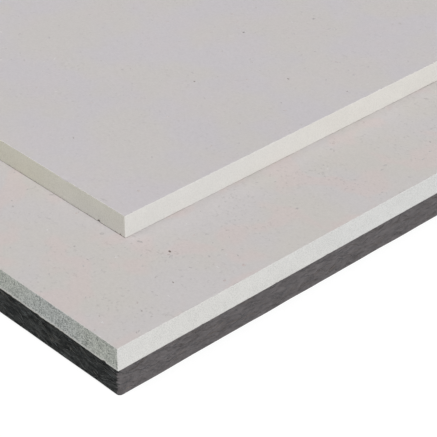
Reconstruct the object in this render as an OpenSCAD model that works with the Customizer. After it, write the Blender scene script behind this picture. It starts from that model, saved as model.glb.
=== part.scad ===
// Gypsum fibre dry screed element: two boards bonded together with an offset, on a felt underlay.
// The boards are offset along both axes, which leaves a stepped lap on all four sides:
// the lower board stands out at +X and -Y, and the upper board overhangs at -X and +Y.
// Millimetres, +Z up. The origin is under the middle of the whole element, on the floor.

/* [Boards] */
// Length of each board
board_l = 1500; // [600:10:2500]
// Width of each board
board_w = 500; // [300:10:1250]
// Thickness of the upper board
upper_t = 10; // [6:0.5:20]
// Thickness of the lower board
lower_t = 10; // [6:0.5:20]
// Bevel on the sawn arrises of the boards
arris = 0.4; // [0.2:0.1:1.5]

/* [Stepped lap] */
// Width of the step along the long sides
side_lap = 47; // [20:1:80]
// Width of the step across the short ends
end_lap = 50; // [20:1:80]

/* [Felt underlay] */
// Thickness of the felt with no load on it
felt_t = 12; // [6:0.5:30]
// How far the edges of the felt sit back from the edges of the lower board
felt_setback = 0.5; // [0:0.1:3]
// Radius of the corners of the felt in plan
felt_corner_r = 2; // [0.5:0.5:6]
// Radius of the lower edges of the felt
felt_edge_r = 1; // [0.5:0.5:4]

/* [Hidden] */
$fn = 48;

// Plan centres of the two boards, half a step either side of the origin
upper_centre = [-end_lap / 2, side_lap / 2];
lower_centre = [end_lap / 2, -side_lap / 2];

// Levels of the faces above the floor
lower_z = felt_t;
upper_z = lower_z + lower_t;

// Plan size of the felt
felt_l = board_l - 2 * felt_setback;
felt_w = board_w - 2 * felt_setback;

// Rectangle a by b round the origin, with its corners cut off at 45 degrees
module bevelled_rectangle(a, b, cut) {
    x = a / 2;
    y = b / 2;
    polygon([
        [x - cut, y], [x, y - cut], [x, cut - y], [x - cut, -y],
        [cut - x, -y], [-x, cut - y], [-x, y - cut], [cut - x, y]
    ]);
}

// Rectangle a by b round the origin, with its four corners rounded
module rounded_rectangle(a, b, r) {
    square([a - 2 * r, b], center = true);
    square([a, b - 2 * r], center = true);
    for (sx = [-1, 1], sy = [-1, 1])
        translate([sx * (a / 2 - r), sy * (b / 2 - r)]) circle(r);
}

// Section a wide and b high that stands on y = 0, with its two lower corners rounded
module tub_section(a, b, r) {
    translate([-a / 2, r]) square([a, b - r]);
    translate([r - a / 2, 0]) square([a - 2 * r, b]);
    for (side = [-1, 1]) translate([side * (a / 2 - r), r]) circle(r);
}

// Lays a section across X, so that it runs l along X
module along_x(l) {
    rotate([90, 0, 90]) linear_extrude(l, center = true) children();
}

// Lays a section across Y, so that it runs w along Y
module along_y(w) {
    rotate([90, 0, 0]) linear_extrude(w, center = true) children();
}

// Board standing on z = 0: the plan and both sections, crossed, bevel all twelve arrises
module board(l, w, t) {
    translate([0, 0, t / 2]) intersection() {
        linear_extrude(t, center = true) bevelled_rectangle(l, w, arris);
        along_x(l) bevelled_rectangle(w, t, arris);
        along_y(w) bevelled_rectangle(l, t, arris);
    }
}

module upper_board() {
    color("gainsboro")
        translate([upper_centre.x, upper_centre.y, upper_z]) board(board_l, board_w, upper_t);
}

module lower_board() {
    color("lightgray")
        translate([lower_centre.x, lower_centre.y, lower_z]) board(board_l, board_w, lower_t);
}

// Felt standing on the floor, rounded at its corners and along its lower edges
module felt_underlay() {
    color("dimgray") translate([lower_centre.x, lower_centre.y, 0]) intersection() {
        linear_extrude(felt_t) rounded_rectangle(felt_l, felt_w, felt_corner_r);
        along_x(felt_l) tub_section(felt_w, felt_t, felt_edge_r);
        along_y(felt_w) tub_section(felt_l, felt_t, felt_edge_r);
    }
}

upper_board();
lower_board();
felt_underlay();
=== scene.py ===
"""Looks of a gypsum fibre floor element: two offset boards on a felt underlay.

Metres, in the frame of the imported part: +X along the length, towards the end where the
lower board stands out, +Y across the width and +Z up from the floor. The corner at +X and -Y
is the one that the camera sees.
"""

import math
from types import SimpleNamespace

import bpy
import numpy as np
from mathutils import Matrix, Vector, noise


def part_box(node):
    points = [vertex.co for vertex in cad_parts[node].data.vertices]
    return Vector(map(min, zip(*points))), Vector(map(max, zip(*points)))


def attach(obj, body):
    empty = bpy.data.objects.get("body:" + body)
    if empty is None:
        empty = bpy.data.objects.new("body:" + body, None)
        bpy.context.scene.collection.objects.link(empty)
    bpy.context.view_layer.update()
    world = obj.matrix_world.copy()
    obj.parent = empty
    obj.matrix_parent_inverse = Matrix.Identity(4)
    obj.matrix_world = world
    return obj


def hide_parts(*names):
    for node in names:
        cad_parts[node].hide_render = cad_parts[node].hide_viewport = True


MM = 0.001
SEED = 20

# Camera, as fitted to the straight edges of the boards and the felt
CAMERA_AT = (1.1620, -0.5907, 0.4058)
CAMERA_AZIMUTH = 46.642
CAMERA_ELEVATION = 33.422
CAMERA_ROLL = 0.123
CAMERA_LENS_MM = 149.2

# Light: an even sky, a soft key lamp over the +X end, and a faint fill over the -Y side
SKY_STRENGTH = 0.385
KEY_STRENGTH = 2.17
KEY_FROM = (0.50, -0.09, 0.50)
FILL_STRENGTH = 0.52
FILL_FROM = (-0.05, -0.12, 0.16)
LAMP_ANGLE = math.radians(22.0)

# Floor: half its width, its bounce onto the part, and the shade and glow that the camera sees
FLOOR_HALF = 20.0
FLOOR_BOUNCE = 0.8
FLOOR_SHADE = 0.25
FLOOR_GLOW = 0.8

# Stations along the +X end, the +Y side, the -X end and the -Y side of a slab, and the step nearest
# to the corner in view over the mean one
SIDE_STATIONS = (572, 764, 252, 1148)
FIRST_STEP = (0.5, 1.0, 1.0, 0.35)
# Round corners in plan
CORNER_STEPS = 4
BOARD_CORNER_R = 0.5 * MM
FELT_CORNER_R = 2.0 * MM
# Rows of faces down a wall, and steps round an arris
BOARD_WALL_ROWS = 17
FELT_WALL_ROWS = 19
ARRIS_STEPS = 3
# How far in from the rim each ring of a flat face lies; every ring has half the points of the last, and
# slides them along their side only within SLIDE times that distance of a corner
FACE_RINGS = (2.4 * MM, 5.0 * MM, 10.0 * MM, 20.0 * MM, 45.0 * MM, 100.0 * MM)
SLIDE = 1.5

# Map that a bake of the part's colours uses. A slab's edge lies in strips at the foot of it, with the
# two faces above them, and each fleck or fibre has a cell of its own
BAKE_MAP = "OFBake"
EDGE_STRIPS = 10
EDGE_ROOM = 0.27
FACE_ROOM = 0.345
MAP_MARGIN = 0.01
STRIP_MARGIN = 0.08
CELL_MARGIN = 0.04

# Arrises of the boards: their ease, the deepest chips, how many chips each has, and how far in a
# bottom arris reaches over its height
TOP_EASE = 0.2 * MM
END_BOTTOM_EASE = 0.12 * MM
SIDE_BOTTOM_EASE = 0.25 * MM
END_CHIP = 0.35 * MM
SIDE_CHIP = 0.8 * MM
CHIPS = 260
UNDERCUT = 1.6
# Walls of the boards: relief that fades out towards the faces, pores in the sides, the strength of the
# painted highlight, a pale rim along their foot, and the size of the stains of glue below it
BOARD_FADE = 0.6 * MM
GRAIN_SIZE = 1.1 * MM
GRAIN_DEPTH = 0.04 * MM
WAVE_SIZE = 9.0 * MM
WAVE_DEPTH = 0.06 * MM
PIT_SIZE = 1.0 * MM
UPPER_PITS = 0.04 * MM
LOWER_PITS = 0.18 * MM
UPPER_PAINTED_RIM = 0.25
LOWER_PAINTED_RIM = 0.7
STAIN_SIZE = 14.0 * MM
# Marks on the walking face and on the lap: in from the +X end, in from the -Y side, half width, in mm
UPPER_MARKS = (
    (33.0, 120.0, 0.5),
    (58.5, 89.5, 0.5),
    (8.5, 130.5, 0.35),
    (20.5, 103.5, 0.35),
    (57.5, 22.5, 0.3),
)
LOWER_MARKS = (
    (32.0, 53.5, 0.68),
    (16.5, 41.0, 0.4),
    (11.0, 21.0, 0.35),
    (19.0, 8.0, 0.3),
)
# Pieces broken out of the arrises of the long side in view: how far from the corner, how long and
# how deep, in mm
UPPER_TOP_BREAKS = ((36.0, 5.0, 0.7),)
UPPER_BOTTOM_BREAKS = ((15.9, 1.8, 1.2), (8.0, 17.0, 0.3), (3.2, 1.3, 0.7))
LOWER_TOP_BREAKS = ()
LOWER_BOTTOM_BREAKS = ((75.0, 140.0, 0.9),)

# The flat faces lie this far inside the CAD faces, and flecks of paper stand up to those
FACE_SINK = 0.03 * MM
FLECKS_PER_M2 = 8000
FLECK_SIDES = 6
FLECK_SIZE = 0.6 * MM
FLECK_MARGIN = 1.5 * MM
# Places the crowds of soft specks on the faces, in mm
SPECK_SHIFT = (65.0, 52.0, 0.0)

# Felt: the shift that places its darker lengths, in mm, the ease of its edges, and its relief
FELT_SHIFT = (150.0, 0.0, 0.0)
FELT_TOP_EASE = 0.6 * MM
FELT_END_EASE = 0.5 * MM
FELT_SIDE_EASE = 0.85 * MM
FELT_FADE = 1.0 * MM
STRAND_SIZE = np.array([4.5, 4.5, 1.1]) * MM
FLUFF_SIZE = np.array([1.6, 1.6, 0.9]) * MM
SAG_SIZE = 22.0 * MM
# Loose fibres on the edge of the felt: how many, rings of points along each, lengths and radii
FIBRES = 5600
FIBRE_RINGS = 6
FIBRE_LENGTH = 3.6 * MM
SHORTEST_FIBRE = 1.2 * MM
LONGEST_FIBRE = 12.0 * MM
FIBRE_RADII_MM = (0.06, 0.15)


def srgb(red, green, blue):
    """Linear colour of a display colour from 0 to 255."""
    shares = [c / 255.0 for c in (red, green, blue)]
    linear = [c / 12.92 if c < 0.04045 else ((c + 0.055) / 1.055) ** 2.4 for c in shares]
    return (*linear, 1.0)


def grey(level):
    """Grey of a linear level from 0 to 1."""
    return (level, level, level, 1.0)


def blend(first, second, share):
    """Values or colours that go from first to second as share goes from 0 to 1."""
    first = np.array(first)
    return first + share * (np.array(second) - first)


def within(share, margin):
    """share from 0 to 1, drawn in to leave a margin at both ends."""
    return margin + (1.0 - 2.0 * margin) * share


def smoothstep(low, high, value):
    """0 at low, 1 at high and smooth between them."""
    t = np.clip((value - low) / (high - low), 0.0, 1.0)
    return t * t * (3.0 - 2.0 * t)


def noise_at(points, seed):
    """Smooth noise, from about -1 to 1, at points that are already divided by the feature size."""
    shift = Vector((seed * 31.7, seed * 17.3, seed * 7.9))
    flat = np.reshape(points, (-1, 3))
    values = [noise.noise(Vector(p) + shift) for p in flat]
    return np.reshape(values, np.shape(points)[:-1])


def noise_along(distance, size, seed):
    """Smooth noise along an edge, with features of about that size."""
    line = np.zeros((len(distance), 3))
    line[:, 0] = distance / size
    return noise_at(line, seed)


# Colours

WHITE = grey(1.0)
UPPER_GREY = srgb(196, 192, 193)
LOWER_GREY = srgb(197, 193, 191)
GLUE_BROWN = srgb(116, 100, 72)
# Casts that a cut edge drifts between: grey and yellow along the sides, pale and cool across the ends
GREY_CAST = (0.995, 0.998, 1.03, 1.0)
YELLOW_CAST = (1.0, 1.0, 0.95, 1.0)
PALE_CAST = (1.006, 1.006, 1.006, 1.0)
COOL_CAST = (0.985, 0.995, 1.01, 1.0)
# Placed marks, and the tones of the other flecks with the share of each
MARK_BROWN = srgb(116, 105, 99)
FLECK_TONES = (
    srgb(184, 180, 179),
    srgb(177, 172, 171),
    srgb(188, 178, 176),
    srgb(203, 200, 199),
)
FLECK_SHARES = (0.5, 0.2, 0.2, 0.1)
# Darkest and palest strands of the felt, and then of its loose fibres, by side and end
# Along the sides darker partly by the lie of the fibres and partly as painted shade; across the ends
# paler partly as painted light
FELT_SIDE_SHADED = (srgb(21, 24, 24), srgb(71, 73, 72))
FELT_END_LIT = (srgb(89, 86, 87), srgb(110, 106, 107))
FELT_BROWN = srgb(84, 78, 70)
FIBRE_SIDE_SHADED = (srgb(24, 27, 27), srgb(106, 108, 107))
FIBRE_END_LIT = (srgb(90, 87, 88), srgb(112, 108, 108))
# Casts of the fibres, plain, brown and blue, with the share of each
FIBRE_CASTS = (WHITE, (1.08, 1.0, 0.9, 1.0), (0.92, 1.0, 1.06, 1.0))
FIBRE_SHARES = (0.6, 0.2, 0.2)


# Shader nodes


class Shader:
    """Node tree of one material round its Principled shader."""

    def __init__(self, name):
        self.material = bpy.data.materials.new(name)
        self.material.use_nodes = True
        self.tree = self.material.node_tree
        self.surface = self.tree.nodes["Principled BSDF"]

    def put(self, socket, value):
        """Feeds a socket from another socket, or with a fixed value."""
        if isinstance(value, bpy.types.NodeSocket):
            self.tree.links.new(value, socket)
        else:
            socket.default_value = value

    def node(self, kind, inputs=None, **settings):
        """New node of a kind, with these settings and with its inputs fed."""
        made = self.tree.nodes.new("ShaderNode" + kind)
        for name, value in settings.items():
            setattr(made, name, value)
        for name, value in (inputs or {}).items():
            self.put(made.inputs[name], value)
        return made

    def place_mm(self, stretch=(1.0, 1.0, 1.0), shift=(0.0, 0.0, 0.0)):
        """Place on the piece in millimetres, divided by stretch along each axis and then shifted."""
        place = self.node("TexCoord").outputs["Object"]
        scale = [1.0 / (MM * s) for s in stretch]
        inputs = {"Vector": place, "Scale": scale, "Location": shift}
        return self.node("Mapping", inputs).outputs["Vector"]

    def noise(self, vector, size, detail, roughness=0.55, distortion=0.0):
        """Noise from 0 to 1, with features of about size in the units of vector."""
        inputs = {
            "Vector": vector,
            "Scale": 1.0 / size,
            "Detail": detail,
            "Roughness": roughness,
            "Distortion": distortion,
        }
        return self.node("TexNoise", inputs).outputs["Fac"]

    def between(self, value, low, high, to_low=0.0, to_high=1.0):
        """value taken smoothly from low..high to to_low..to_high."""
        inputs = {"Value": value, 1: low, 2: high, 3: to_low, 4: to_high}
        made = self.node("MapRange", inputs, interpolation_type="SMOOTHSTEP")
        return made.outputs["Result"]

    def math(self, operation, a, b):
        return self.node("Math", {0: a, 1: b}, operation=operation).outputs["Value"]

    def mix(self, share, a, b, mode="MIX"):
        """Colour a with a share of colour b laid over it."""
        made = self.node("Mix", data_type="RGBA", blend_type=mode)
        sockets = {s.identifier: s for s in made.inputs}
        self.put(sockets["Factor_Float"], share)
        self.put(sockets["A_Color"], a)
        self.put(sockets["B_Color"], b)
        return next(s for s in made.outputs if s.identifier == "Result_Color")

    def attribute(self, name, output="Fac"):
        return self.node("Attribute", attribute_name=name).outputs[output]

    def bump(self, height, depth_mm):
        """Normal of a relief with heights from 0 to 1."""
        inputs = {"Height": height, "Distance": depth_mm * MM, "Strength": 1.0}
        return self.node("Bump", inputs).outputs["Normal"]

    def finish(self, colour, roughness, normal, specular):
        """Feeds the Principled shader, and returns the finished material."""
        self.put(self.surface.inputs["Base Color"], colour)
        self.put(self.surface.inputs["Roughness"], roughness)
        self.put(self.surface.inputs["Normal"], normal)
        self.surface.inputs["Specular IOR Level"].default_value = specular
        return self.material


# Materials, where the sizes of noise are in mm


def sanded_face_material(name, cool, warm, rosy, rosiness, speckled):
    """Sanded gypsum fibre: a faint drift between three pale tints, with grain and fibres.

    rosiness is the strength of its rosy patches, and speckled that of its soft specks.
    """
    sh = Shader(name)
    place = sh.place_mm()
    colour = sh.mix(sh.between(sh.noise(place, 34.0, detail=3.0), 0.38, 0.62), cool, warm)
    rose = sh.between(sh.noise(place, 22.0, detail=2.0, distortion=0.4), 0.50, 0.62)
    colour = sh.mix(sh.math("MULTIPLY", rose, rosiness), colour, rosy)
    broad = sh.between(sh.noise(place, 120.0, detail=2.0), 0.3, 0.7, 0.99, 1.01)
    grain = sh.between(sh.noise(place, 0.9, detail=4.0, roughness=0.7), 0.25, 0.75, 0.955, 1.045)
    fibres = sh.noise(sh.place_mm((5.0, 0.5, 1.0)), 1.0, detail=2.0, roughness=0.5, distortion=2.5)
    fibre_tone = sh.between(fibres, 0.56, 0.70, 1.0, 0.965)
    specks = sh.between(sh.noise(place, 1.5, detail=1.0), 0.60, 0.72)
    crowded = sh.noise(sh.place_mm(shift=SPECK_SHIFT), 18.0, detail=1.0)
    crowd = sh.between(crowded, 0.4, 0.65, 0.2 * speckled, speckled)
    speck_tone = sh.math("MULTIPLY", specks, crowd)
    tone = sh.math("MULTIPLY", sh.math("MULTIPLY", broad, grain), fibre_tone)
    tone = sh.math("MULTIPLY", tone, sh.math("SUBTRACT", 1.0, speck_tone))
    colour = sh.mix(1.0, colour, tone, "MULTIPLY")
    sanding = sh.noise(sh.place_mm((60.0, 0.7, 1.0)), 1.0, detail=2.0)
    relief = sh.math("ADD", sh.noise(place, 0.7, detail=3.0), sh.math("MULTIPLY", sanding, 0.5))
    roughness = sh.between(sh.noise(place, 3.0, detail=3.0), 0.3, 0.7, 0.78, 0.92)
    return sh.finish(colour, roughness, sh.bump(relief, 0.03), specular=0.3)


def cut_edge_material(name, side, end, skin, pore_share, pore_shade_colour):
    """Cut gypsum fibre. pore_share says how open its pores are, which are fainter across the ends. The
    pores take a darker colour, as painted shade in their pits.
    """
    sh = Shader(name)
    place = sh.place_mm()
    along_side = sh.between(sh.attribute("end"), 0.3, 0.7, 1.0, 0.0)
    yellow = sh.between(sh.noise(place, 70.0, detail=1.0), 0.35, 0.65)
    side_cast = sh.mix(yellow, GREY_CAST, YELLOW_CAST)
    cool = sh.between(sh.noise(place, 90.0, detail=1.0), 0.4, 0.6)
    end_cast = sh.mix(cool, PALE_CAST, COOL_CAST)
    cast = sh.mix(along_side, end_cast, side_cast)
    colour = sh.mix(1.0, sh.mix(along_side, end, side), cast, "MULTIPLY")
    drift = sh.between(sh.noise(place, 16.0, detail=2.0), 0.3, 0.7, 0.985, 1.015)
    grain = sh.between(sh.noise(place, 0.8, detail=4.0, roughness=0.7), 0.25, 0.75, 0.94, 1.06)
    colour = sh.mix(1.0, colour, sh.math("MULTIPLY", drift, grain), "MULTIPLY")
    fine = sh.between(sh.noise(place, 0.45, detail=2.0, roughness=0.6), 0.42, 0.60)
    open_pores = sh.between(sh.noise(place, 0.8, detail=1.0), 0.60, 0.72)
    crowd = sh.between(sh.noise(place, 5.0, detail=2.0), 0.3, 0.7, 0.55, 0.9)
    pores = sh.math("MAXIMUM", sh.math("MULTIPLY", fine, crowd), open_pores)
    lower_half = sh.between(sh.attribute("below"), 0.3, 0.7, 0.94, 1.06)
    side_share = sh.math("MULTIPLY", sh.math("MULTIPLY", along_side, lower_half), pore_share)
    least_share = 0.05 + 0.35 * pore_share
    pores = sh.math("MULTIPLY", pores, sh.math("ADD", side_share, least_share))
    # Painted shade in the pits of the pores: they take a darker colour
    colour = sh.mix(pores, colour, pore_shade_colour)
    # Painted highlight: a pale rim along the foot of the sides, in the colour of the ends
    colour = sh.mix(sh.attribute("painted_rim"), colour, end)
    colour = sh.mix(sh.attribute("skin"), colour, skin)
    stain = sh.math("MULTIPLY", sh.attribute("stain"), 0.8)
    colour = sh.mix(stain, colour, GLUE_BROWN)
    relief = sh.noise(place, 0.4, detail=4.0, roughness=0.7)
    roughness = sh.between(sh.noise(place, 2.0, detail=2.0), 0.3, 0.7, 0.85, 0.96)
    return sh.finish(colour, roughness, sh.bump(relief, 0.06), specular=0.2)


def felt_material():
    """Needled felt: dark strands that lie flat, paler across the ends than along the sides, partly by
    the lie of the fibres and partly as painted light and painted shade.
    """
    sh = Shader("grey_felt")
    place = sh.place_mm()
    strands = sh.noise(sh.place_mm((3.2, 3.2, 0.7)), 1.0, detail=3.0, roughness=0.6, distortion=1.5)
    fine = sh.noise(place, 0.7, detail=3.0, roughness=0.65, distortion=0.8)
    tone = sh.math("ADD", sh.math("MULTIPLY", strands, 0.3), sh.math("MULTIPLY", fine, 0.4))
    tone = sh.math("ADD", tone, sh.math("MULTIPLY", sh.attribute("lift"), 0.3))
    tone = sh.between(tone, 0.3, 0.7)
    patches = sh.noise(sh.place_mm(shift=FELT_SHIFT), 11.0, detail=2.0)
    tone = sh.math("MULTIPLY", tone, sh.between(patches, 0.3, 0.7, 0.7, 1.15))
    # Painted shade darkens the sides and painted light pales the ends, over the fibres' own lie
    side = sh.mix(tone, *FELT_SIDE_SHADED)
    end = sh.mix(tone, *FELT_END_LIT)
    frayed = sh.between(sh.noise(sh.place_mm((2.5, 2.5, 0.45)), 1.0, detail=2.0), 0.3, 0.7, -0.4, 0.4)
    at_end = sh.math("ADD", sh.attribute("end"), frayed)
    colour = sh.mix(sh.between(at_end, 0.38, 0.62), side, end)
    brown = sh.between(sh.noise(place, 6.0, detail=2.0), 0.55, 0.75, 0.0, 0.2)
    colour = sh.mix(brown, colour, FELT_BROWN, "SOFT_LIGHT")
    relief = sh.math("ADD", strands, fine)
    return sh.finish(colour, 0.95, sh.bump(relief, 0.18), specular=0.15)


def tinted_material(name):
    """Small parts that carry their own colours, each with a little variation along it."""
    sh = Shader(name)
    grain = sh.noise(sh.place_mm(), 0.6, detail=2.0)
    tone = sh.between(grain, 0.3, 0.7, 0.86, 1.12)
    colour = sh.mix(1.0, sh.attribute("tint", "Color"), tone, "MULTIPLY")
    return sh.finish(colour, 0.9, sh.bump(grain, 0.05), specular=0.2)


def part_materials():
    """Materials of the part. Each board has one for its faces and one for its cut edges."""
    upper_face = sanded_face_material(
        "sanded_upper",
        cool=srgb(194, 190, 193),
        warm=srgb(195, 191, 189),
        rosy=srgb(198, 190, 191),
        rosiness=0.2,
        speckled=0.06,
    )
    upper_edge = cut_edge_material(
        "cut_upper",
        side=srgb(222, 220, 211),
        end=srgb(221, 219, 214),
        skin=UPPER_GREY,
        pore_share=0.1,
        pore_shade_colour=srgb(140, 136, 122),
    )
    lower_face = sanded_face_material(
        "sanded_lower",
        cool=srgb(195, 191, 191),
        warm=srgb(195, 191, 187),
        rosy=srgb(201, 189, 187),
        rosiness=0.6,
        speckled=0.12,
    )
    lower_edge = cut_edge_material(
        "cut_lower",
        # The sides are darker than the ends, partly by dirt and partly as painted shade of their coarse
        # cut
        side=srgb(196, 199, 194),
        end=srgb(214, 213, 210),
        skin=LOWER_GREY,
        pore_share=0.6,
        pore_shade_colour=srgb(90, 95, 91),
    )
    return SimpleNamespace(
        upper=(upper_face, upper_edge),
        lower=(lower_face, lower_edge),
        paper=tinted_material("paper_fleck"),
        felt=felt_material(),
        fibre=tinted_material("felt_fibre"),
    )


# Meshes


def new_piece(name, points, faces):
    """Piece of the part, from points and faces, that rides with the rest of it."""
    mesh = bpy.data.meshes.new(name)
    mesh.from_pydata(np.asarray(points).tolist(), [], faces)
    piece = bpy.data.objects.new(name, mesh)
    bpy.context.scene.collection.objects.link(piece)
    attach(piece, "root")
    return piece


def set_numbers(mesh, name, values):
    layer = mesh.attributes.new(name, "FLOAT", "POINT")
    layer.data.foreach_set("value", np.asarray(values, np.float32).ravel())


def set_colours(mesh, name, values):
    layer = mesh.attributes.new(name, "FLOAT_COLOR", "POINT")
    layer.data.foreach_set("color", np.asarray(values, np.float32).ravel())


def set_map(mesh, places):
    layer = mesh.uv_layers.new(name=BAKE_MAP)
    layer.uv.foreach_set("vector", np.asarray(places, np.float32).ravel())


def cell_map(mesh, count, item):
    """Map with a cell of its own for each of count like items, where item is laid out from 0 to 1."""
    across = math.ceil(math.sqrt(count))
    cell = np.arange(count)
    corner = np.column_stack([cell % across, cell // across])
    places = corner[:, None, :] + within(np.asarray(item), CELL_MARGIN)[None, :, :]
    set_map(mesh, places / across)


# Slabs with a finely divided edge


def spaced(length, count, first_step):
    """count + 1 places from 0 to length. first_step is the first step over the mean one."""
    share = np.linspace(0.0, 1.0, count + 1)
    return length * (first_step * share + (1.0 - first_step) * share ** 3)


def outline(low, high, corner_r):
    """Stations round a rectangle with round corners, anticlockwise from the corner in view."""
    centre = np.array([low.x + high.x, low.y + high.y]) / 2.0
    half = np.array([high.x - low.x, high.y - low.y]) / 2.0 - corner_r
    points = []
    normals = []
    for side, count in enumerate(SIDE_STATIONS):
        turn = side * math.pi / 2.0
        out = np.array([round(math.cos(turn)), round(math.sin(turn))])
        ahead = np.array([-out[1], out[0]])
        reach, run = (half[0], half[1]) if side % 2 == 0 else (half[1], half[0])
        step = spaced(2.0 * run, count, FIRST_STEP[side])
        if side == len(SIDE_STATIONS) - 1:
            step = 2.0 * run - step[::-1]
        start = centre + out * (reach + corner_r) - ahead * run
        points.append(start + np.outer(step, ahead))
        normals.append(np.tile(out, (count + 1, 1)))
        angle = turn + np.linspace(0.0, math.pi / 2.0, CORNER_STEPS + 1)[1:-1]
        arc = np.column_stack([np.cos(angle), np.sin(angle)])
        points.append(centre + out * reach + ahead * run + arc * corner_r)
        normals.append(arc)
    points = np.vstack(points)
    step = np.linalg.norm(np.roll(points, -1, axis=0) - points, axis=1)
    return SimpleNamespace(
        points=points,
        normals=np.vstack(normals),
        step=step,
        distance=np.concatenate([[0.0], np.cumsum(step)[:-1]]),
        length=float(step.sum()),
        centre=centre,
        half=half + corner_r,
        corner_r=corner_r,
    )


def room_at(path):
    """How deep an arris may be cut at each station without crossing over at a round corner."""
    from_corner = np.min(np.abs(np.abs(path.points - path.centre) - path.half), axis=1)
    across = np.max(path.half - np.abs(path.points - path.centre), axis=1)
    return 0.7 * path.corner_r + np.maximum(across - from_corner - path.corner_r, 0.0) * 0.5


def edge_rows(top, bottom, ease_top, ease_bottom, wall_rows, undercut=1.0):
    """Inset and height of each row of the edge, from the top face round both arrises to the bottom.

    The bottom arris reaches undercut times as far in as it is high.
    """
    angle = np.linspace(0.0, math.pi / 2.0, ARRIS_STEPS + 1)
    inset_round = 1.0 - np.sin(angle)
    drop_round = 1.0 - np.cos(angle)
    wall = np.linspace(0.0, 1.0, wall_rows + 1)[1:-1]
    wall_top = top - ease_top[:, None]
    wall_bottom = bottom + ease_bottom[:, None]
    inset = np.hstack([
        ease_top[:, None] * inset_round,
        np.zeros((len(ease_top), len(wall))),
        ease_bottom[:, None] * inset_round[::-1] * undercut,
    ])
    height = np.hstack([
        top - ease_top[:, None] * drop_round,
        wall_top + (wall_bottom - wall_top) * wall,
        bottom + ease_bottom[:, None] * drop_round[::-1],
    ])
    return inset, height


def drawn_in(path, points, inset):
    """Points of the outline moved in by inset, and slid along their side near a corner."""
    away = points - path.centre
    from_end = path.half - np.abs(away)
    reach = np.minimum(SLIDE * inset, path.half)
    from_end = np.maximum(from_end, inset + from_end * (1.0 - inset / reach))
    return path.centre + np.sign(away) * (path.half - from_end)


def face_rings(path, rim, height, first_index):
    """Points and triangles of a flat face, from its rim in to one coarse polygon."""
    points = []
    faces = []
    ring = rim
    kept = np.arange(len(rim))
    for inset in FACE_RINGS:
        kept = kept[::2]
        spot = drawn_in(path, path.points[kept], inset)
        inner = first_index + len(points) + np.arange(len(kept))
        points.extend((x, y, height) for x, y in spot)
        for k, (p, q) in enumerate(zip(inner, np.roll(inner, -1))):
            a, b, c = ring[2 * k], ring[2 * k + 1], ring[(2 * k + 2) % len(ring)]
            faces += [(a, b, p), (b, q, p), (b, c, q)]
        ring = inner
    return points, faces + [tuple(ring)]


def slab(name, path, inset, height, depth, attributes):
    """Closed slab: the edge rows pushed in by depth, and a flat face on the top and the bottom."""
    stations, rows = inset.shape
    out = path.normals[:, None, :]
    spot = path.points[:, None, :] - out * (inset + depth)[..., None]
    edge = np.dstack([spot, height]).reshape(-1, 3)
    index = np.arange(stations * rows).reshape(stations, rows)
    after = np.roll(index, -1, axis=0)
    quads = np.dstack([index[:, :-1], index[:, 1:], after[:, 1:], after[:, :-1]]).reshape(-1, 4)
    top_points, top_faces = face_rings(path, index[:, 0], height[0, 0], len(edge))
    bottom_start = len(edge) + len(top_points)
    bottom_points, bottom_faces = face_rings(path, index[:, -1], height[0, -1], bottom_start)
    faces = quads.tolist() + top_faces + [f[::-1] for f in bottom_faces]
    faces = [[int(i) for i in f] for f in faces]
    piece = new_piece(name, np.vstack([edge, top_points, bottom_points]), faces)
    on_edge = np.arange(len(faces)) < len(quads)
    piece.data.polygons.foreach_set("use_smooth", on_edge)
    for key, values in attributes.items():
        whole = np.zeros(len(piece.data.vertices))
        whole[: len(edge)] = np.broadcast_to(values, height.shape).ravel()
        set_numbers(piece.data, key, whole)
    slab_map(piece.data, path, np.mean(inset, axis=0), np.mean(height, axis=0))
    return piece, on_edge


def slab_map(mesh, path, inset, height):
    """Map of a slab, with finer pixels for its edge than for its two flat faces."""
    inwards = np.diff(inset, prepend=inset[0])
    downwards = np.diff(height, prepend=height[0])
    section = np.cumsum(np.hypot(inwards, downwards))
    section = section / section[-1]
    rows = len(section) - 1
    reach = path.length / EDGE_STRIPS
    strip = np.floor(path.distance / reach)
    near = (path.distance - strip * reach) / reach
    far = near + path.step / reach
    u = np.repeat(np.column_stack([near, near, far, far]), rows, axis=0)
    row = np.column_stack([section[:-1], section[1:], section[1:], section[:-1]])
    v = np.tile(row, (len(strip), 1))
    v = (np.repeat(strip, rows)[:, None] + within(v, STRIP_MARGIN)) / EDGE_STRIPS
    # The last quad of a strip runs on past its end, so the margin is wider there
    u = within(u, MAP_MARGIN) - 0.5 * MAP_MARGIN
    edge = np.dstack([u, EDGE_ROOM * v]).reshape(-1, 2)

    corner = np.zeros(len(mesh.loops), np.int32)
    mesh.loops.foreach_get("vertex_index", corner)
    point = np.zeros(3 * len(mesh.vertices), np.float32)
    mesh.vertices.foreach_get("co", point)
    flat = point.reshape(-1, 3)[corner[len(edge):], :2]
    flat = 0.5 + (flat - path.centre) / (2.0 * path.half)
    first = EDGE_ROOM + np.repeat([MAP_MARGIN, 2.0 * MAP_MARGIN + FACE_ROOM], len(flat) // 2)
    faces = np.column_stack([within(flat[:, 0], MAP_MARGIN), first + FACE_ROOM * flat[:, 1]])
    set_map(mesh, np.vstack([edge, faces]))


def inside_faces(height, low, high, reach):
    """0 at the top and bottom faces of a slab, and 1 where both are at least reach away."""
    return np.clip(np.minimum(high.z - height, height - low.z) / reach, 0.0, 1.0)


def edge_points(path, height):
    """Points of the unbroken edge in three dimensions, one for each station and row."""
    spot = np.repeat(path.points[:, None, :], height.shape[1], axis=1)
    return np.dstack([spot, height])


# Boards


def broken(path, ragged, at, length, depth):
    """Depth of a piece broken out of an arris, at a distance along the outline."""
    away = np.abs(path.distance - at) / (0.5 * length)
    return depth * (1.0 + 0.5 * ragged) * np.clip(1.0 - away ** 2, 0.0, 1.0) ** 0.6


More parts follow.
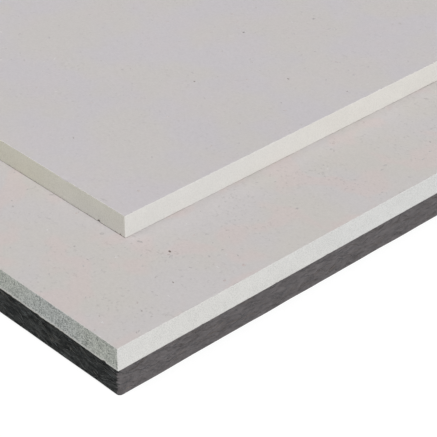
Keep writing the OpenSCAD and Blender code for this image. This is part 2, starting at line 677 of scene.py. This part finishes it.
def arris(path, ease, chips, breaks, seed, rng, undercut=1.0):
    """Depth of a cut arris along the edge: eased a little, ragged, and chipped by up to chips.

    breaks lists, in mm, pieces broken out of the long side in view: how far from the corner in
    view each is, how long and how deep. The arris reaches undercut times as far in as it is deep.
    """
    ragged = 0.6 * noise_along(path.distance, 1.3 * MM, seed)
    ragged += 0.5 * noise_along(path.distance, 6.0 * MM, seed + 1)
    depth = ease * np.clip(1.0 + 0.6 * ragged, 0.4, 1.8)
    for at in rng.uniform(0.0, path.length, CHIPS):
        length = rng.uniform(0.7, 2.5) * MM
        deep = rng.uniform(0.25, 1.0) ** 2 * chips
        depth = np.maximum(depth, broken(path, ragged, at, length, deep))
    for away, length, deep in breaks:
        at = path.length - away * MM
        depth = np.maximum(depth, broken(path, ragged, at, length * MM, deep * MM))
    return np.minimum(depth, room_at(path) / undercut)


def board(node, seed, materials, side_pits, top_breaks, bottom_breaks, painted_rim):
    """Gypsum fibre board in the place of its CAD node.

    side_pits is the depth of the pores in its sides, and burr the strength of the painted highlight, a
    pale rim along their foot.
    """
    rng = np.random.default_rng(SEED + seed)
    low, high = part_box(node)
    path = outline(low, high, BOARD_CORNER_R)
    end = np.abs(path.normals[:, :1])
    along_side = 1.0 - end[:, 0]
    chips = blend(END_CHIP, SIDE_CHIP, along_side)
    bottom_ease = blend(END_BOTTOM_EASE, SIDE_BOTTOM_EASE, along_side)
    ease_top = arris(path, TOP_EASE, chips, top_breaks, seed, rng)
    ease_bottom = arris(path, bottom_ease, chips, bottom_breaks, seed + 0.5, rng, UNDERCUT)
    top = high.z - FACE_SINK
    bottom = low.z + FACE_SINK
    inset, height = edge_rows(top, bottom, ease_top, ease_bottom, BOARD_WALL_ROWS, UNDERCUT)
    spot = edge_points(path, height)
    above = height - low.z
    on_wall = inside_faces(height, low, high, BOARD_FADE)
    pits = smoothstep(0.1, 0.45, noise_at(spot / PIT_SIZE, seed + 2.0)) * (1.0 - end)
    grain = 0.5 + 0.5 * noise_at(spot / GRAIN_SIZE, seed)
    waves = 0.5 + 0.5 * noise_at(spot / WAVE_SIZE, seed + 3.0)
    depth = on_wall * (side_pits * pits + GRAIN_DEPTH * grain + WAVE_DEPTH * waves)
    foot = ease_bottom[:, None]
    broad = noise_at(spot / STAIN_SIZE, seed + 4.0)
    attributes = {
        "end": end,
        "below": (high.z - height) / (high.z - low.z),
        "skin": high.z - height < 0.6 * ease_top[:, None],
        "stain": (above < foot) * np.maximum(smoothstep(-0.4, 0.2, broad), foot > 0.6 * MM),
        # Painted highlight along the foot of the sides
        "painted_rim": painted_rim * (1.0 - end) * smoothstep(1.0 * MM, 0.3 * MM, above - foot) * (above >= foot),
    }
    piece, on_edge = slab(node + "_piece", path, inset, height, depth, attributes)
    for material in materials:
        piece.data.materials.append(material)
    piece.data.polygons.foreach_set("material_index", on_edge.astype(np.int32))
    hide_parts(node)


# Flecks of paper in the faces of the boards


def random_flecks(low, high, rng):
    """Places, half widths and directions of flecks all over a face, most of them small."""
    count = int(FLECKS_PER_M2 * (high.x - low.x) * (high.y - low.y))
    x = rng.uniform(low.x + FLECK_MARGIN, high.x - FLECK_MARGIN, count)
    y = rng.uniform(low.y + FLECK_MARGIN, high.y - FLECK_MARGIN, count)
    size = FLECK_SIZE * rng.lognormal(0.0, 0.3, count)
    turn = rng.uniform(0.0, math.pi, count)
    return np.column_stack([x, y, np.full(count, high.z), size, turn])


def placed_flecks(low, high, marks):
    """Flecks along X at marks, in mm: in from the +X end, in from the -Y side, and half the width."""
    return np.array([(high.x - a * MM, low.y + b * MM, high.z, r * MM, 0.0) for a, b, r in marks])


def fleck_points(flecks, rng):
    """Closed thin flakes with a ragged rim under the face and a crown level with the CAD face."""
    count = len(flecks)
    angle = np.linspace(0.0, 2.0 * math.pi, FLECK_SIDES, endpoint=False)
    reach = flecks[:, 3:4] * rng.uniform(0.6, 1.3, (count, FLECK_SIDES))
    stretch = rng.uniform(1.0, 2.6, (count, 1))
    turn = flecks[:, 4:]
    along = reach * np.cos(angle) * np.sqrt(stretch)
    across = reach * np.sin(angle) / np.sqrt(stretch)
    ring = np.dstack([
        along * np.cos(turn) - across * np.sin(turn),
        along * np.sin(turn) + across * np.cos(turn),
        np.zeros_like(along),
    ])
    middle = flecks[:, None, :3]
    rim = middle + ring - (0.0, 0.0, 2.0 * FACE_SINK)
    crown = middle + 0.8 * ring
    return np.hstack([rim, crown, middle, middle - (0.0, 0.0, 3.0 * FACE_SINK)])


def fleck_faces(count):
    """Faces of the flakes, and how the corners of one of them lie in its cell of the map."""
    side = np.arange(FLECK_SIDES)
    after = (side + 1) % FLECK_SIDES
    crown, top, under = FLECK_SIDES, 2 * FLECK_SIDES, 2 * FLECK_SIDES + 1
    one = [(a, b, crown + b, crown + a) for a, b in zip(side, after)]
    one += [(crown + a, crown + b, top) for a, b in zip(side, after)]
    one += [(b, a, under) for a, b in zip(side, after)]
    one = [[int(i) for i in face] for face in one]
    angle = 2.0 * math.pi * side / FLECK_SIDES
    wheel = np.column_stack([np.cos(angle), np.sin(angle)])
    flat = 0.5 + np.vstack([0.5 * wheel, 0.4 * wheel, [(0.0, 0.0), (0.0, 0.0)]])
    item = [flat[i] for face in one for i in face]
    size = 2 * FLECK_SIDES + 2
    return [[i + size * k for i in face] for k in range(count) for face in one], item


def paper_flecks(material):
    """Flecks of paper in the faces that show: the walking face and the two laps below it."""
    rng = np.random.default_rng(SEED)
    upper_low, upper_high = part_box("upper_board")
    lower_low, lower_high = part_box("lower_board")
    lap = random_flecks(lower_low, lower_high, rng)
    clear = 1.0 * MM
    lap = lap[(lap[:, 0] > upper_high.x + clear) | (lap[:, 1] < upper_low.y - clear)]
    loose = np.vstack([random_flecks(upper_low, upper_high, rng), lap])
    marks = np.vstack([
        placed_flecks(upper_low, upper_high, UPPER_MARKS),
        placed_flecks(lower_low, lower_high, LOWER_MARKS),
    ])
    flecks = np.vstack([marks, loose])
    tint = np.array(FLECK_TONES)[rng.choice(len(FLECK_TONES), len(flecks), p=FLECK_SHARES)]
    faint = 0.5 * (flecks[:, 2:3] > lower_high.z)
    tint = blend(tint, UPPER_GREY, faint)
    tint[: len(marks)] = MARK_BROWN
    faces, item = fleck_faces(len(flecks))
    points = fleck_points(flecks, rng)
    piece = new_piece("paper_flecks", points.reshape(-1, 3), faces)
    set_colours(piece.data, "tint", np.repeat(tint, points.shape[1], axis=0))
    cell_map(piece.data, len(flecks), item)
    piece.data.materials.append(material)


# Felt


def felt_relief(spot, end):
    """How far the edge of the felt lies in at each point, and how much a strand stands up there.

    end is 1 across the ends, which are cut smoother, and 0 along the sides.
    """
    strand = noise_at(spot / STRAND_SIZE, 6.0)
    fluff = noise_at(spot / FLUFF_SIZE, 7.0)
    sag = noise_at(spot / SAG_SIZE, 8.0)
    rough = 1.0 - 0.4 * end
    depth = 0.35 * MM - rough * MM * (0.14 * strand + 0.12 * fluff) + 0.2 * MM * sag
    return np.maximum(depth, 0.0), np.clip(0.5 + 0.6 * strand + 0.5 * fluff, 0.0, 1.0)


def felt(node, material, fibre_material):
    """Felt underlay in the place of its CAD node, with loose fibres along its cut edges."""
    low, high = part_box(node)
    path = outline(low, high, FELT_CORNER_R)
    end = np.abs(path.normals[:, 0])
    ease_top = FELT_TOP_EASE + 0.4 * MM * noise_along(path.distance, 7.0 * MM, 4.0)
    ease_bottom = blend(FELT_SIDE_EASE, FELT_END_EASE, end)
    ease_bottom += 0.25 * MM * noise_along(path.distance, 11.0 * MM, 5.0)
    inset, height = edge_rows(high.z, low.z, ease_top, ease_bottom, FELT_WALL_ROWS)
    depth, lift = felt_relief(edge_points(path, height), end[:, None])
    on_wall = inside_faces(height, low, high, FELT_FADE)
    attributes = {"end": end[:, None], "lift": lift}
    piece, _ = slab(node + "_piece", path, inset, height, depth * on_wall, attributes)
    piece.data.materials.append(material)
    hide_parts(node)
    fringe = felt_fibres(path, low, high, fibre_material)


def at_distance(path, values, distance):
    """Values of the stations of an outline, taken at distances along it."""
    return np.interp(distance, path.distance, values, period=path.length)


def fibre_paths(path, low, high, rng):
    """Middle lines of the loose fibres, which lie on the edge of the felt with some ends lifted."""
    share = np.linspace(-0.5, 0.5, FIBRE_RINGS)
    pick = rng.integers(0, len(path.distance), FIBRES)
    length = FIBRE_LENGTH * rng.lognormal(0.0, 0.45, (FIBRES, 1))
    length = np.clip(length, SHORTEST_FIBRE, LONGEST_FIBRE)
    along = (path.distance[pick][:, None] + length * share) % path.length
    end = np.abs(path.normals[pick, :1])
    slope = rng.normal(0.0, 0.4, (FIBRES, 1)) * (1.0 - 0.5 * end)
    bow = rng.normal(0.0, 0.1, (FIBRES, 1))
    middle = rng.uniform(low.z + 1.2 * MM, high.z - 0.4 * MM, (FIBRES, 1))
    height = middle + length * (slope * share + bow * (1.0 - 4.0 * share ** 2))
    height = np.clip(height, low.z + 1.0 * MM, high.z - 0.25 * MM)
    x, y = (at_distance(path, path.points[:, k], along) for k in (0, 1))
    out_x, out_y = (at_distance(path, path.normals[:, k], along) for k in (0, 1))
    depth, _ = felt_relief(np.dstack([x, y, height]), end)
    lifted = rng.exponential(0.18 * MM, (FIBRES, 1)) * smoothstep(0.1, 0.5, share)
    proud = np.minimum(rng.normal(0.02 * MM, 0.05 * MM, (FIBRES, 1)) + lifted - depth, 0.4 * MM)
    lines = np.dstack([x + out_x * proud, y + out_y * proud, height])
    return lines, end


def tubes(lines, radius):
    """Points of three-sided tubes along lines, thin at both ends, with one ridge outwards."""
    ahead = np.gradient(lines, axis=1)
    ahead /= np.linalg.norm(ahead, axis=2, keepdims=True)
    out = np.cross(ahead, (0.0, 0.0, 1.0))
    out /= np.linalg.norm(out, axis=2, keepdims=True)
    up = np.cross(ahead, out)
    taper = np.sin(np.linspace(0.12, math.pi - 0.12, lines.shape[1])) ** 0.5
    size = (radius * taper)[..., None]
    angles = np.radians((0.0, 120.0, 240.0))
    rings = [lines + size * (math.cos(a) * out + math.sin(a) * up) for a in angles]
    return np.stack(rings, axis=2)


def tube_faces(count):
    """Faces of the tubes, and how the corners of one of them lie in its cell of the map."""
    one = []
    item = []
    last = 3 * (FIBRE_RINGS - 1)
    for ring in range(FIBRE_RINGS - 1):
        u = [0.15 + 0.7 * (ring + k) / (FIBRE_RINGS - 1) for k in (0, 0, 1, 1)]
        for k in range(3):
            a, b = 3 * ring + k, 3 * ring + (k + 1) % 3
            one.append([a, b, b + 3, a + 3])
            item += list(zip(u, (k / 3, (k + 1) / 3, (k + 1) / 3, k / 3)))
    one += [[0, 2, 1], [last, last + 1, last + 2]]
    item += [(0.0, 0.0), (0.1, 0.5), (0.0, 1.0), (1.0, 0.0), (1.0, 1.0), (0.9, 0.5)]
    size = 3 * FIBRE_RINGS
    return [[i + size * k for i in face] for k in range(count) for face in one], item


def fibre_tints(end, rng):
    """Colour of each fibre: grey, with a few browns and blues, and paler at the ends of the felt,
    partly as painted light.
    """
    tone = rng.uniform(0.0, 1.0, (FIBRES, 1)) ** 1.6
    # Painted shade darkens the fibres along the sides and painted light pales them across the ends
    tint = blend(blend(*FIBRE_SIDE_SHADED, tone), blend(*FIBRE_END_LIT, tone), end)
    return tint * np.array(FIBRE_CASTS)[rng.choice(len(FIBRE_CASTS), FIBRES, p=FIBRE_SHARES)]


def felt_fibres(path, low, high, material):
    """Loose fibres on the cut edges of the felt."""
    rng = np.random.default_rng(SEED + 3)
    lines, end = fibre_paths(path, low, high, rng)
    points = tubes(lines, rng.uniform(*FIBRE_RADII_MM, (FIBRES, 1)) * MM)
    faces, item = tube_faces(FIBRES)
    piece = new_piece("felt_fibres", points.reshape(-1, 3), faces)
    tint = fibre_tints(end, rng)
    set_colours(piece.data, "tint", np.repeat(tint, 3 * FIBRE_RINGS, axis=0))
    cell_map(piece.data, FIBRES, item)
    piece.data.polygons.foreach_set("use_smooth", np.ones(len(piece.data.polygons), bool))
    piece.data.materials.append(material)
    return piece


# Stage


def white_background():
    """White where the camera sees the sky, and an even light on everything else."""
    world = bpy.data.worlds.new("studio")
    bpy.context.scene.world = world
    world.use_nodes = True
    tree = world.node_tree
    sky = tree.nodes["Background"]
    sky.inputs["Strength"].default_value = SKY_STRENGTH
    seen = tree.nodes.new("ShaderNodeBackground")
    join = tree.nodes.new("ShaderNodeMixShader")
    sky.inputs["Color"].default_value = WHITE
    seen.inputs["Color"].default_value = WHITE
    tree.links.new(seen_rays(tree), join.inputs["Fac"])
    tree.links.new(sky.outputs[0], join.inputs[1])
    tree.links.new(seen.outputs[0], join.inputs[2])
    tree.links.new(join.outputs[0], tree.nodes["World Output"].inputs["Surface"])


def seen_rays(tree):
    """1 for rays from the camera, and for those that a mirror or glass passes on."""
    path = tree.nodes.new("ShaderNodeLightPath")
    share = path.outputs["Is Camera Ray"]
    for kind in ("Is Glossy Ray", "Is Transmission Ray"):
        either = tree.nodes.new("ShaderNodeMath")
        either.operation = "MAXIMUM"
        tree.links.new(share, either.inputs[0])
        tree.links.new(path.outputs[kind], either.inputs[1])
        share = either.outputs[0]
    return share


def floor():
    """Pale floor that looks white, with a faint shadow under the element."""
    signs = ((-1, -1), (1, -1), (1, 1), (-1, 1))
    corners = [(FLOOR_HALF * x, FLOOR_HALF * y, 0.0) for x, y in signs]
    mesh = bpy.data.meshes.new("floor")
    mesh.from_pydata(corners, [], [(0, 1, 2, 3)])
    plane = bpy.data.objects.new("floor", mesh)
    bpy.context.scene.collection.objects.link(plane)
    material = bpy.data.materials.new("pale_floor")
    material.use_nodes = True
    tree = material.node_tree
    tree.nodes.remove(tree.nodes["Principled BSDF"])
    bounce = tree.nodes.new("ShaderNodeBsdfDiffuse")
    bounce.inputs["Color"].default_value = grey(FLOOR_BOUNCE)
    shade = tree.nodes.new("ShaderNodeBsdfDiffuse")
    shade.inputs["Color"].default_value = grey(FLOOR_SHADE)
    glow = tree.nodes.new("ShaderNodeEmission")
    glow.inputs["Strength"].default_value = FLOOR_GLOW
    white = tree.nodes.new("ShaderNodeAddShader")
    tree.links.new(shade.outputs[0], white.inputs[0])
    tree.links.new(glow.outputs[0], white.inputs[1])
    join = tree.nodes.new("ShaderNodeMixShader")
    tree.links.new(seen_rays(tree), join.inputs["Fac"])
    tree.links.new(bounce.outputs[0], join.inputs[1])
    tree.links.new(white.outputs[0], join.inputs[2])
    tree.links.new(join.outputs[0], tree.nodes["Material Output"].inputs["Surface"])
    mesh.materials.append(material)


def lamp(name, strength, direction):
    """Soft lamp that stands far off in a direction."""
    light = bpy.data.lights.new(name, "SUN")
    light.energy = strength
    light.angle = LAMP_ANGLE
    stand = bpy.data.objects.new(name, light)
    stand.rotation_mode = "QUATERNION"
    stand.rotation_quaternion = Vector(direction).to_track_quat("Z", "Y")
    bpy.context.scene.collection.objects.link(stand)


def camera():
    """Camera that stands where the photo was taken from."""
    angles = (CAMERA_AZIMUTH, CAMERA_ELEVATION, CAMERA_ROLL)
    azimuth, elevation, roll = (math.radians(a) for a in angles)
    lens = bpy.data.cameras.new("camera")
    lens.lens = CAMERA_LENS_MM
    lens.clip_start = 0.01
    view = bpy.data.objects.new("camera", lens)
    turn = Matrix.Rotation(azimuth, 4, "Z")
    tilt = Matrix.Rotation(math.pi / 2.0 - elevation, 4, "X")
    view.matrix_world = Matrix.Translation(CAMERA_AT) @ turn @ tilt @ Matrix.Rotation(roll, 4, "Z")
    bpy.context.scene.collection.objects.link(view)
    bpy.context.scene.camera = view


# Scene

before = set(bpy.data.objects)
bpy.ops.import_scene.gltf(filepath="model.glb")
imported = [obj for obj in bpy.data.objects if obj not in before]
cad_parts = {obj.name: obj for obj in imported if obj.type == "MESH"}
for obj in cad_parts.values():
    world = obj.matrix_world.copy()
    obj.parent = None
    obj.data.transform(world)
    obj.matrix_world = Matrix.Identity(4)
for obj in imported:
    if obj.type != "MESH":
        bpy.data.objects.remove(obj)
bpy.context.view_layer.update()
bpy.context.scene.view_settings.view_transform = "Standard"
camera()
white_background()
floor()
lamp("key", KEY_STRENGTH, KEY_FROM)
lamp("fill", FILL_STRENGTH, FILL_FROM)
looks = part_materials()
board("upper_board", 1, looks.upper, UPPER_PITS, UPPER_TOP_BREAKS, UPPER_BOTTOM_BREAKS, UPPER_PAINTED_RIM)
board("lower_board", 2, looks.lower, LOWER_PITS, LOWER_TOP_BREAKS, LOWER_BOTTOM_BREAKS, LOWER_PAINTED_RIM)
paper_flecks(looks.paper)
felt("felt_underlay", looks.felt, looks.fibre)
